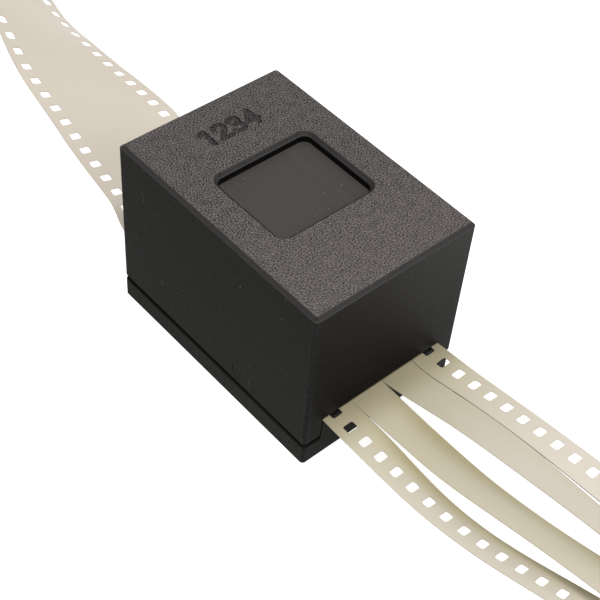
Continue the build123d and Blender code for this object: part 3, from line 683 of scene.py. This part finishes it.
def pebbled_black(name):
    m, nt, bs = new_mat(name)
    co = coords(nt)
    cav, band, arc, fld = (attribute(nt, k) for k in ("cavity", "band", "arc", "field"))
    fine = noise(nt, co, 3600.0, 2.0, 0.6)
    ridge = math_n(nt, "SINE", math_n(nt, "MULTIPLY", arc, 2 * math.pi / 0.34))
    n1 = bump(nt, math_n(nt, "MULTIPLY", fine, fld), 0.06 * MM, 0.75)
    n2 = bump(nt, math_n(nt, "MULTIPLY", ridge, band), 0.030 * MM, 1.0, n1)
    put(nt, bs.inputs["Normal"], n2)
    # painted highlight on the grain's peaks and painted shade in its valleys; the top's light grey is painted sheen
    # from the light above
    shade = math_n(nt, "ADD", math_n(nt, "MULTIPLY", cav, 0.75), math_n(nt, "MULTIPLY", fine, 0.30))
    sep = node(nt, "ShaderNodeSeparateXYZ"); put(nt, sep.inputs[0], co)
    exit_sheen = remap(nt, sep.outputs["X"], -0.004, 0.026, 0.0, 1.0)       # painted sheen: the grain drawn lighter toward the exit end
    low = mix_rgb(nt, exit_sheen, rgb(0.0030, 0.0027, 0.0026), rgb(0.0165, 0.0145, 0.0138))
    high = mix_rgb(nt, exit_sheen, rgb(0.112, 0.0980, 0.0935), rgb(0.116, 0.1015, 0.0970))
    peb = mix_rgb(nt, remap(nt, shade, 0.24, 0.92, 0.0, 1.0, "LINEAR"), low, high)
    # the bevels' stepped ridges: real steps in the bump, drawn light and dark in turn as painted highlight and shade
    rim = mix_rgb(nt, remap(nt, ridge, -0.6, 0.6, 0, 1), rgb(0.0030, 0.0027, 0.0025), rgb(0.0230, 0.0210, 0.0198))
    rim = mix_rgb(nt, band, rgb(0.0140, 0.0129, 0.0122), rim)
    col = mix_rgb(nt, remap(nt, fld, 0.05, 0.6, 0, 1), rim, peb)
    put(nt, bs.inputs["Base Color"], col)
    put(nt, bs.inputs["Roughness"], remap(nt, fine, 0.3, 0.7, 0.42, 0.54))
    bs.inputs["IOR"].default_value = 1.5
    bs.inputs["Specular IOR Level"].default_value = 0.3
    return m


def ironed_black(name):
    """the smooth plate in the window: fine lines along X and a little dust"""
    m, nt, bs = new_mat(name)
    co = coords(nt)
    sep = node(nt, "ShaderNodeSeparateXYZ"); put(nt, sep.inputs[0], co)
    w = noise(nt, scaled(nt, co, (40, 2600, 40)), 1.0, 2.0, 0.6)
    lines = math_n(nt, "SINE", math_n(nt, "MULTIPLY", sep.outputs["Y"], 2 * math.pi / 0.00042))
    h = math_n(nt, "ADD", math_n(nt, "MULTIPLY", lines, 0.3), math_n(nt, "MULTIPLY", w, 1.3))
    put(nt, bs.inputs["Normal"], bump(nt, h, 0.0022 * MM, 0.5))
    col = mix_rgb(nt, remap(nt, w, 0.3, 0.7, 0, 1), rgb(0.0330, 0.0300, 0.0288), rgb(0.0380, 0.0345, 0.0332))
    dust = []
    for x, y, r in ((7.8, 0.5, .13), (8.6, 2.3, .12), (4.5, 4.8, .11), (6.9, 6.4, .10), (4.7, 9.4, .12), (-9.5, -6.0, .10), (1.5, -3.5, .08), (9.8, -7.5, .09)):
        dx = math_n(nt, "SUBTRACT", sep.outputs["X"], x * MM)
        dy = math_n(nt, "SUBTRACT", sep.outputs["Y"], y * MM)
        d = math_n(nt, "SQRT", math_n(nt, "ADD", math_n(nt, "MULTIPLY", dx, dx), math_n(nt, "MULTIPLY", dy, dy)))
        dust.append(remap(nt, d, 0.4 * r * MM, r * MM, 1, 0))
    col = mix_rgb(nt, math_n(nt, "MULTIPLY", add_all(nt, dust), 0.7), col, rgb(0.28, 0.27, 0.26))
    put(nt, bs.inputs["Base Color"], col)
    put(nt, bs.inputs["Roughness"], remap(nt, w, 0.3, 0.7, 0.46, 0.50))
    bs.inputs["IOR"].default_value = 1.46
    bs.inputs["Specular IOR Level"].default_value = 0.25
    return m


def film_face(name, edge=False, dark=1.0, lift=(1.0, 1.0, 1.0), seam=False):
    m, nt, bs = new_mat(name)
    co = coords(nt)
    big = noise(nt, co, 35.0, 2.0)
    sep = node(nt, "ShaderNodeSeparateXYZ"); put(nt, sep.inputs[0], co)
    # the end that still feeds in keeps the film's colour; toward the exit the strips are drawn khaki, painted light
    # shining up through the film from the floor, going back to a pinker colour further out
    back = mix_rgb(nt, remap(nt, big, 0.3, 0.7, 0, 1), rgb(0.430, 0.384, 0.326), rgb(0.442, 0.395, 0.335))
    cut = mix_rgb(nt, remap(nt, big, 0.3, 0.7, 0, 1), rgb(0.352, 0.318, 0.232), rgb(0.364, 0.330, 0.242))
    far = mix_rgb(nt, remap(nt, sep.outputs["X"], 0.034, 0.075, 0, 1), cut, rgb(0.410, 0.376, 0.312))
    col = mix_rgb(nt, remap(nt, sep.outputs["X"], -0.010, 0.020, 0, 1), back, far)
    # painted shade in a khaki tone on the side that rolls away, where the neighbouring strip shadows it
    col = mix_rgb(nt, attribute(nt, "curl"), col, rgb(0.300, 0.262, 0.150))
    # painted shade where it comes out of the slot, cast by the body, and each strip a little different further on
    x = sep.outputs["X"]
    out = math_n(nt, "MULTIPLY", remap(nt, x, 0.020, 0.031, 0, 1), remap(nt, x, 0.0335, 0.0440, 1, 0))
    col = times(nt, col, mix_rgb(nt, out, rgb(1.0, 1.0, 1.0), rgb(0.70, 0.680, 0.610)))
    if lift != (1.0, 1.0, 1.0):
        col = times(nt, col, mix_rgb(nt, remap(nt, x, 0.036, 0.056, 0, 1), rgb(1.0, 1.0, 1.0), rgb(*lift)))
    if seam:
        # painted shadow: a thin dark line along the -Y cut edge, where the neighbouring strip meets it
        line = remap(nt, attribute(nt, "seam"), 0.07, 0.15, 0.80, 0.0)
        col = mix_rgb(nt, line, col, rgb(0.085, 0.062, 0.042))
    if edge:
        col = mix_rgb(nt, remap(nt, big, 0.3, 0.7, 0, 1), rgb(0.215 * dark, 0.165 * dark, 0.115 * dark), rgb(0.275 * dark, 0.215 * dark, 0.155 * dark))
    put(nt, bs.inputs["Base Color"], col)
    put(nt, bs.inputs["Roughness"], remap(nt, noise(nt, co, 400.0, 3.0), 0.3, 0.7, 0.42, 0.48))
    put(nt, bs.inputs["Normal"], bump(nt, noise(nt, scaled(nt, co, (120, 120, 120)), 1.0, 2.0), 0.03 * MM, 0.4))
    bs.inputs["IOR"].default_value = 1.5
    bs.inputs["Specular IOR Level"].default_value = 0.35
    return m


def steel(name, tone, rough, brush=(40, 3000, 40)):
    m, nt, bs = new_mat(name)
    co = coords(nt)
    b = noise(nt, scaled(nt, co, brush), 1.0, 3.0, 0.6)
    put(nt, bs.inputs["Base Color"], mix_rgb(nt, b, rgb(tone * 0.85, tone * 0.85, tone * 0.86), rgb(tone, tone, tone * 1.01)))
    put(nt, bs.inputs["Roughness"], remap(nt, b, 0.3, 0.7, rough - 0.06, rough + 0.08))
    put(nt, bs.inputs["Normal"], bump(nt, b, 0.004 * MM, 0.6))
    bs.inputs["Metallic"].default_value = 1.0
    return m


def felt(name):
    m, nt, bs = new_mat(name)
    co = coords(nt)
    f = noise(nt, co, 2500.0, 5.0, 0.75, 1.5)
    put(nt, bs.inputs["Base Color"], mix_rgb(nt, f, rgb(0.006, 0.006, 0.007), rgb(0.035, 0.034, 0.036)))
    put(nt, bs.inputs["Normal"], bump(nt, f, 0.12 * MM, 0.9))
    bs.inputs["Roughness"].default_value = 0.95
    bs.inputs["Sheen Weight"].default_value = 0.35
    bs.inputs["Sheen Roughness"].default_value = 0.5
    return m


def set_mat(ob, *mats):
    for m in mats:
        ob.data.materials.append(m)


M_SIDE = printed_black("printed_black", marks=True)
M_BASE = printed_black("printed_black_base", base=0.0070, rib=0.00042, marks=True)
M_TOP = pebbled_black("pebbled_black")
M_CAP = ironed_black("cassette_top_black")
M_CORE = printed_black("cassette_black", base=0.012)
# film edges in their own brown; a copy darkened by painted shade for the right edge strip's -Y edge
M_FILM, M_FILM_EDGE, M_SHADED_CUT_EDGE = film_face("film_face"), film_face("film_edge", True), film_face("film_cut_edge", True, 0.12)
M_STRIP = {"film_edge_strip_right": film_face("film_face_pale", lift=(1.09, 1.085, 1.12), seam=True),
           "film_centre_strip_left": film_face("film_face_warm", lift=(0.93, 0.93, 0.87))}
M_BLADE = steel("blade_steel", 0.62, 0.24, (3000, 40, 60))
M_PIN = steel("pin_steel", 0.66, 0.22)
M_SCREW = steel("screw_steel", 0.16, 0.34)
M_MAG = steel("magnet_nickel", 0.74, 0.16, (300, 300, 300))
M_FELT = felt("black_felt")

cover = build_cover()
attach(cover, "cover")
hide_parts("cover_shell")
set_mat(cover, M_SIDE, M_TOP)
build_strips()
build_uncut()
for ob in FILM_PIECES:
    face = M_STRIP.get(ob.name[:-4], M_FILM)
    set_mat(ob, face, M_FILM_EDGE, M_SHADED_CUT_EDGE if ob.name.startswith("film_edge_strip_right") else M_FILM_EDGE)

SLOT_MAT = {"black_print": M_SIDE, "cassette_print": M_CORE, "film": M_FILM, "blade_steel": M_BLADE, "screw_steel": M_SCREW,
            "pin_steel": M_PIN, "magnet_nickel": M_MAG, "felt": M_FELT}
for sp in frame["record"]["subparts"]:
    ob = NODES[sp["node"]]
    for s in ob.material_slots:
        s.material = SLOT_MAT[sp["material_slot"]]
for name, m in (("cassette_cap", M_CAP), ("base_plate", M_BASE)):
    for s in NODES[name].material_slots:
        s.material = m

# --------------------------------------------------- floor, light and camera
def build_floor():
    me = bpy.data.meshes.new("floor")
    w = 3.0
    me.from_pydata([(-w, -w, 0), (w, -w, 0), (w, w, 0), (-w, w, 0)], [], [(0, 1, 2, 3)])
    ob = bpy.data.objects.new("floor", me)
    bpy.context.scene.collection.objects.link(ob)
    m, nt, bs = new_mat("floor_paper")
    bs.inputs["Base Color"].default_value = rgb(0.45, 0.45, 0.45)
    bs.inputs["Roughness"].default_value = 0.9
    bs.inputs["Emission Color"].default_value = rgb(1.0, 1.0, 1.0)
    bs.inputs["Emission Strength"].default_value = 0.85
    bs.inputs["Specular IOR Level"].default_value = 0.1
    set_mat(ob, m)


def area(name, pos, target, size, power, color=(1, 1, 1)):
    li = bpy.data.lights.new(name, "AREA")
    li.shape = "RECTANGLE"
    li.size, li.size_y = size
    li.energy = power
    li.color = color
    ob = bpy.data.objects.new(name, li)
    bpy.context.scene.collection.objects.link(ob)
    ob.location = pos
    ob.rotation_euler = (Vector(target) - Vector(pos)).to_track_quat("-Z", "Y").to_euler()
    return ob


build_floor()
world = bpy.data.worlds.new("studio")
bpy.context.scene.world = world
world.use_nodes = True
world.node_tree.nodes["Background"].inputs["Color"].default_value = (1.0, 1.0, 1.0, 1.0)
world.node_tree.nodes["Background"].inputs["Strength"].default_value = 0.50
area("key", (0.10, -0.16, 1.05), (0, 0, 0.03), (0.50, 0.50), 13.0)
area("fill", (0.85, 0.55, 0.6), (0, 0, 0.03), (0.6, 0.6), 4.0)

R = Vector((0.65458, 0.75371, 0.05871))
U = Vector((-0.58485, 0.45565, 0.67107))
Bk = Vector((0.47904, -0.47361, 0.73907))
cam = bpy.data.cameras.new("camera")
cam.sensor_width = 36.0
cam.lens = 1343.676 / 600 * 36.0
cam.clip_start = 0.005
cam_ob = bpy.data.objects.new("camera", cam)
bpy.context.scene.collection.objects.link(cam_ob)
rot = Matrix((R, U, Bk)).transposed().to_4x4()
cam_ob.matrix_world = Matrix.Translation(Vector((152.076, -145.724, 241.658)) * MM) @ rot
bpy.context.scene.camera = cam_ob
bpy.context.scene.view_settings.view_transform = "Standard"
bpy.context.scene.view_settings.look = "None"

bpy.context.view_layer.update()
